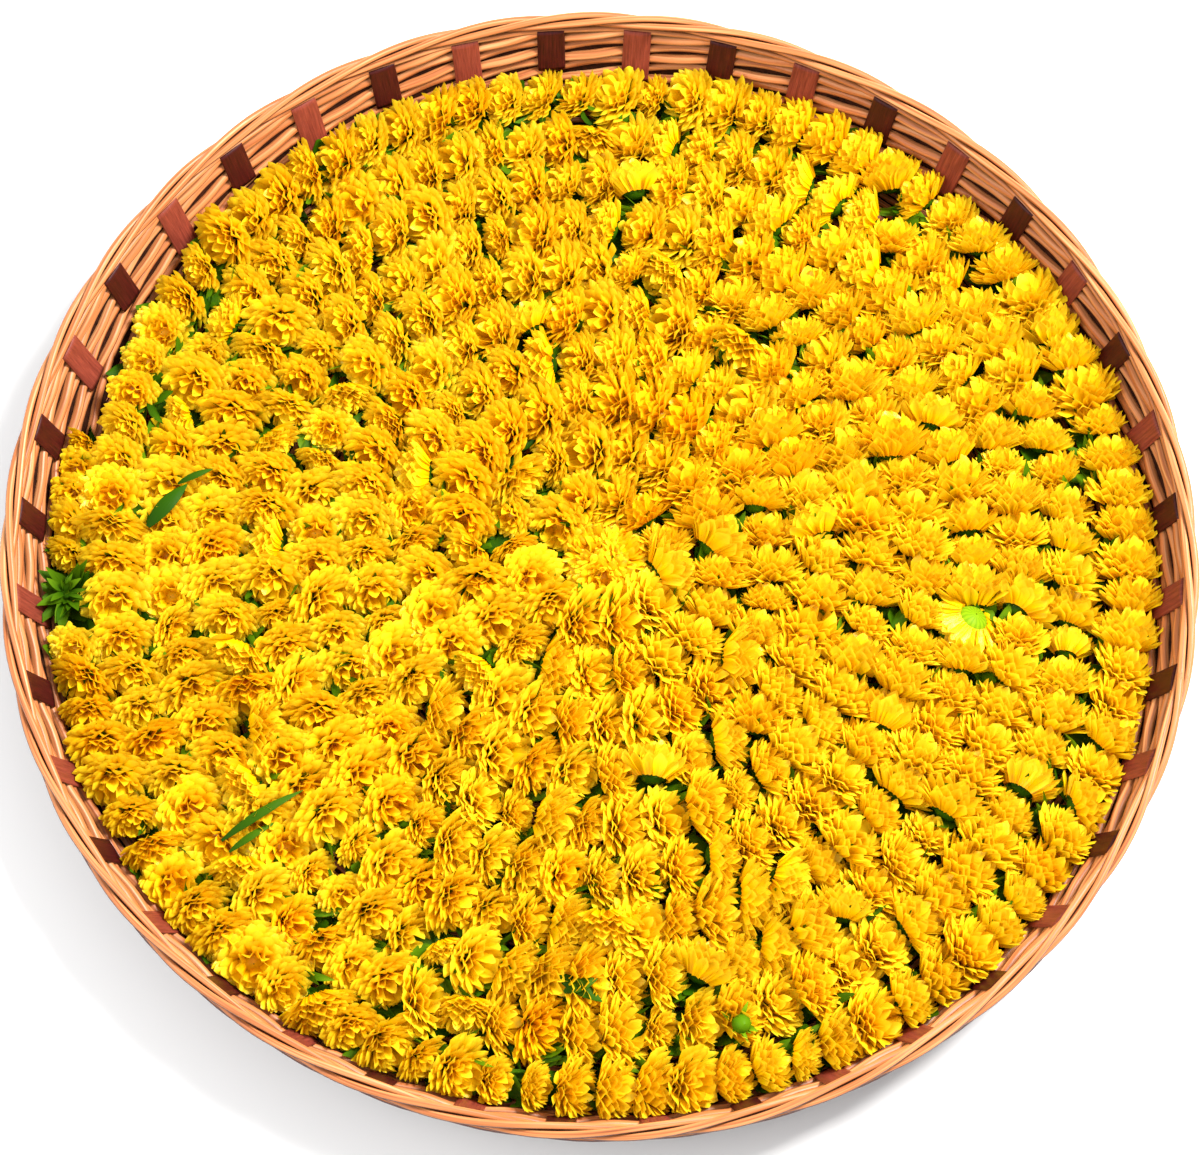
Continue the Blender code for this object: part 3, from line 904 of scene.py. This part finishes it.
def make_middle(finishes):
    """The heads that fill the middle of the coil, leaning outwards."""
    sheet = Sheet()
    height = float(floor_height(0.0)) + STRING_HEIGHT + MIDDLE_LIFT
    for number in range(MIDDLE_HEADS):
        where = COIL_START + 2 * math.pi * (number + 0.5) / MIDDLE_HEADS
        x = MIDDLE_SHIFT * math.cos(COIL_START + math.pi) + MIDDLE_RADIUS * math.cos(where)
        y = MIDDLE_SHIFT * math.sin(COIL_START + math.pi) + MIDDLE_RADIUS * math.sin(where)
        axis = Vector((math.cos(where) * 0.5, math.sin(where) * 0.5, 0.85))
        flower_head(sheet, Vector((x, y, height)), axis, MIDDLE_SIZE, MIDDLE_TONE, MIDDLE_PETALS,
                    math.radians(MIDDLE_OPENNESS), MIDDLE_GREEN)
    keep_inside(sheet)
    nodes = [f"garland_middle_head_{number + 1}" for number in range(MIDDLE_HEADS)]
    sheet.build("heads_middle", finishes, "yellow_petals", *nodes)


def spun_sheet(sheet, radii, heights, sides, part):
    """A thin surface round the middle through the given radii and heights."""
    turn = 2 * math.pi * np.arange(sides) / sides
    radii = np.asarray(radii, dtype=float)[:, None]
    heights = np.broadcast_to(np.asarray(heights, dtype=float)[:, None], (len(radii), sides))
    points = np.stack([radii * np.cos(turn)[None], radii * np.sin(turn)[None], heights], -1)
    i = np.arange(len(radii) - 1)[:, None]
    j = np.arange(sides)[None, :]
    k = (j + 1) % sides
    quads = np.stack([i * sides + j, i * sides + k, (i + 1) * sides + k, (i + 1) * sides + j], -1)
    sheet.add(points, quads, 0.5, 0.0, 0.0, part)


def ring_path(radius, angle, z):
    """Points round the middle, from a radius and a height that may change with the angle."""
    heights = np.broadcast_to(z, angle.shape)
    return np.stack([radius * np.cos(angle), radius * np.sin(angle), heights], 1)


def full_turn(steps):
    """Angles all the way round."""
    return 2 * math.pi * np.arange(steps) / steps


def make_wall(finishes):
    """Rods that run round the wall and slant down a row at each splint, over a dark sheet of painted shade.
    """
    sheet = Sheet()
    steps = 10
    row = (WALL_TOP - WALL_BOTTOM - 2 * ROD_RADIUS) / ROD_GAPS
    for k in range(STAKES):
        s = np.arange(ROD_GAPS * steps + 1) / steps
        thick = ROD_RADIUS * rng.uniform(0.92, 1.05)
        swing = np.sin(math.pi * s) ** 2
        side = np.where(np.floor(s) % 2 == 0, 1.0, -ROD_WAVE_BACK)
        z = WALL_TOP - ROD_RADIUS - row * s + ROD_LIFT * swing * side + rng.normal(0, ROD_UNEVEN)
        angle = 2 * math.pi * (k + s) / STAKES
        radius = wall_radius(z) + ROD_SET - ROD_WAVE * swing * side
        taper = thick * (1.0 - ROD_TAPER * s / ROD_GAPS)
        tube(sheet, ring_path(radius, angle, z), taper, 8, float(rng.uniform(0, 1)))
    angle = full_turn(240)
    for aside, z in EDGE_RODS:
        radius = wall_radius(z) + aside + ROD_UNEVEN * np.sin(STAKES * angle)
        tube(sheet, ring_path(radius, angle, z), THIN_ROD, 6, float(rng.uniform(0, 1)), closed=True)
    # A dark sheet of painted shade behind the rods, from the wall's foot up into the border's middle
    heights = np.linspace(WALL_BOTTOM + LAYER_INSET, WALL_TOP - LAYER_INSET, 10)
    radii = np.append(wall_radius(heights) - ROD_SET, RIM_RADIUS - BORDER_INSET)
    spun_sheet(sheet, radii, np.append(heights, RIM_HEIGHT - BORDER_INSET), 160, 1)
    sheet.build("wall_rods", finishes, "straw_rods", "basket_wall")


def make_border(finishes):
    """Rods laid over one another in long slants along the top of the wall."""
    sheet = Sheet()
    angle = full_turn(480)
    middle = RIM_RADIUS - BORDER_INSET
    height = RIM_HEIGHT - BORDER_INSET
    for j, tone in enumerate(BORDER_TONES):
        lay = 2 * math.pi * j / len(BORDER_TONES) + BORDER_TWISTS * angle
        radius = middle + BORDER_SPREAD * np.cos(lay)
        z = height + BORDER_SPREAD * np.sin(lay)
        tube(sheet, ring_path(radius, angle, z), BORDER_ROD, 9, tone, closed=True)
    # A thin dark tube of painted shade inside the three rods, seen through the gaps between them
    path = ring_path(middle, angle, height)[::2]
    tube(sheet, path, BORDER_ROD * BORDER_CORE, 6, 0.5, closed=True, part=1)
    sheet.build("border_rods", finishes, "straw_rods", "basket_rim")


def make_splint(number, finish, slot):
    """One flat splint: a thin strap with rounded edges and a slight bow, from the border downwards."""
    node = f"stake_{number + 1:02d}"
    low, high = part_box(node)
    turn = 2 * math.pi * number / STAKES
    rows = 12
    across = np.array([-1.0, -0.94, -0.5, 0.0, 0.5, 0.94, 1.0])
    depth = np.array([0.35, 0.0, 0.0, 0.0, 0.0, 0.0, 0.35])
    points = []
    along = []
    sides = []
    for i in range(rows + 1):
        z = high[2] + (low[2] - high[2]) * i / rows
        inside = wall_radius(z) - WALL_HALF - STAKE_GAP - STAKE_THICKNESS
        ring = []
        for u, d in zip(across, depth):
            bow = STAKE_BOW * (1.0 - u * u)
            ring.append((inside + d * STAKE_THICKNESS - bow, u * STAKE_WIDTH / 2, u))
        for u, d in zip(across[::-1], depth):
            ring.append((inside + STAKE_THICKNESS * (1.0 - d) - STAKE_TRIM, u * STAKE_WIDTH / 2, u))
        for radius, offset, u in ring:
            x = radius * math.cos(turn) - offset * math.sin(turn)
            y = radius * math.sin(turn) + offset * math.cos(turn)
            points.append((x, y, z))
            along.append(high[2] - z)
            sides.append(u)
    side = 2 * len(across)
    quads = []
    for i in range(rows):
        for j in range(side):
            k = (j + 1) % side
            quads.append((i * side + j, i * side + k, (i + 1) * side + k, (i + 1) * side + j))
    for j in range(len(across) - 1):
        last = rows * side
        quads.append((j, side - 1 - j, side - 2 - j, j + 1))
        quads.append((last + j, last + j + 1, last + side - 2 - j, last + side - 1 - j))
    sheet = Sheet()
    sheet.add(points, quads, float(rng.uniform(0, 1)), along, sides)
    sheet.build(f"splint_{number + 1:02d}", [finish], slot, node)


def make_splints():
    """All the splints, dark and red in turn but for the shift."""
    dark = splint_material("dark_splint", DARK_SPLINT)
    red = splint_material("red_splint", RED_SPLINT)
    for number in range(STAKES):
        shift = 1 if SHIFT_FIRST <= number <= SHIFT_LAST else 0
        if (number + shift) % 2 == 0:
            make_splint(number, dark, "dark_splints")
        else:
            make_splint(number, red, "red_splints")


def make_base(finishes):
    """The woven base: rings of rod that wave over and under, on a foot ring of laid rods."""
    sheet = Sheet()
    edge = wall_radius(BASE_EDGE_TOP) - BASE_ROOM
    for j in range(int((edge - BASE_HOLE) / BASE_ROW)):
        radius = edge - BASE_ROW * j
        waves = 20 if radius > 0.15 else 10 if radius > 0.06 else 5
        angle = full_turn(max(waves * 6, 40))
        wave = np.cos(waves * angle + math.pi * j)
        z = floor_height(radius) - BASE_MIDDLE + BASE_WAVE * wave
        tube(sheet, ring_path(radius, angle, z), THIN_ROD, 6, float(rng.uniform(0, 1)), closed=True)
    angle = full_turn(160)
    for count, start, z in FOOT_LAYERS:
        for i in range(count):
            path = ring_path(FOOT_INNER + start + FOOT_ROW * i, angle, z)
            tube(sheet, path, FOOT_ROD, 7, float(rng.uniform(0, 1)), closed=True)
    # A dark sheet of painted shade under the base's rods
    radii = np.linspace(0.0005, edge, 24)
    spun_sheet(sheet, radii, floor_height(radii) - BASE_MIDDLE, 96, 1)
    for turn in range(3):
        path = ring_path(BASE_CURL - BASE_CURL_STEP * turn, angle, BASE_CURL_HEIGHT)
        tube(sheet, path, THIN_ROD, 6, 0.4, closed=True)
    sheet.build("base_rods", finishes, "straw_rods", "basket_base")


def make_stage():
    """A pale floor."""
    mesh = bpy.data.meshes.new("floor")
    wide = FLOOR_HALF
    corners = [(-wide, -wide, 0), (wide, -wide, 0), (wide, wide, 0), (-wide, wide, 0)]
    mesh.from_pydata(corners, [], [(0, 1, 2, 3)])
    floor = bpy.data.objects.new("floor", mesh)
    bpy.context.scene.collection.objects.link(floor)
    n = Nodes("floor")
    n.shader.inputs["Base Color"].default_value = (FLOOR_SHADE, FLOOR_SHADE, FLOOR_SHADE, 1.0)
    n.shader.inputs["Roughness"].default_value = 0.9
    mesh.materials.append(n.material)


def add_area(name, place, size, power, colour):
    """A square soft light that faces the object."""
    light = bpy.data.lights.new(name, "AREA")
    light.shape = "SQUARE"
    light.size = size
    light.energy = power
    light.color = colour
    lamp = bpy.data.objects.new(name, light)
    bpy.context.scene.collection.objects.link(lamp)
    lamp.location = place
    lamp.rotation_euler = (Vector(LIGHT_AIM) - Vector(place)).to_track_quat("-Z", "Y").to_euler()


def make_lights():
    """Soft studio light from above, with a pale surround."""
    world = bpy.data.worlds.new("surround")
    world.use_nodes = True
    background = world.node_tree.nodes["Background"]
    background.inputs["Color"].default_value = (1.0, 1.0, 1.0, 1.0)
    background.inputs["Strength"].default_value = SURROUND_STRENGTH
    bpy.context.scene.world = world
    add_area("key", *KEY_LIGHT)
    add_area("fill", *FILL_LIGHT)
    bpy.context.scene.view_settings.view_transform = "Standard"


def make_camera():
    """The camera stands near the front, high up, and rolled so that the near side points lower left."""
    rise = math.radians(CAMERA_ELEVATION)
    aim = Vector(CAMERA_AIM)
    turn = math.radians(CAMERA_AZIMUTH)
    level = math.cos(rise)
    away = Vector((level * math.sin(turn), -level * math.cos(turn), math.sin(rise)))
    place = aim + CAMERA_DISTANCE * away
    view = (aim - place).to_track_quat("-Z", "Y").to_matrix().to_4x4()
    roll = Matrix.Rotation(math.radians(CAMERA_ROLL), 4, "Z")
    lens = bpy.data.cameras.new("camera")
    lens.lens = CAMERA_LENS
    lens.sensor_width = 36.0
    lens.sensor_fit = "HORIZONTAL"
    lens.clip_end = 50.0
    camera = bpy.data.objects.new("camera", lens)
    bpy.context.scene.collection.objects.link(camera)
    camera.matrix_world = Matrix.Translation(place) @ view @ roll
    bpy.context.scene.camera = camera


make_camera()
make_stage()
make_lights()
flower_finishes = [petal_material(), green_material()]
rod_finishes = [rod_material(), shade_material()]
make_border(rod_finishes)
make_wall(rod_finishes)
make_base(rod_finishes)
make_splints()
make_garland(flower_finishes)
make_middle(flower_finishes)
make_loose_greens(flower_finishes)
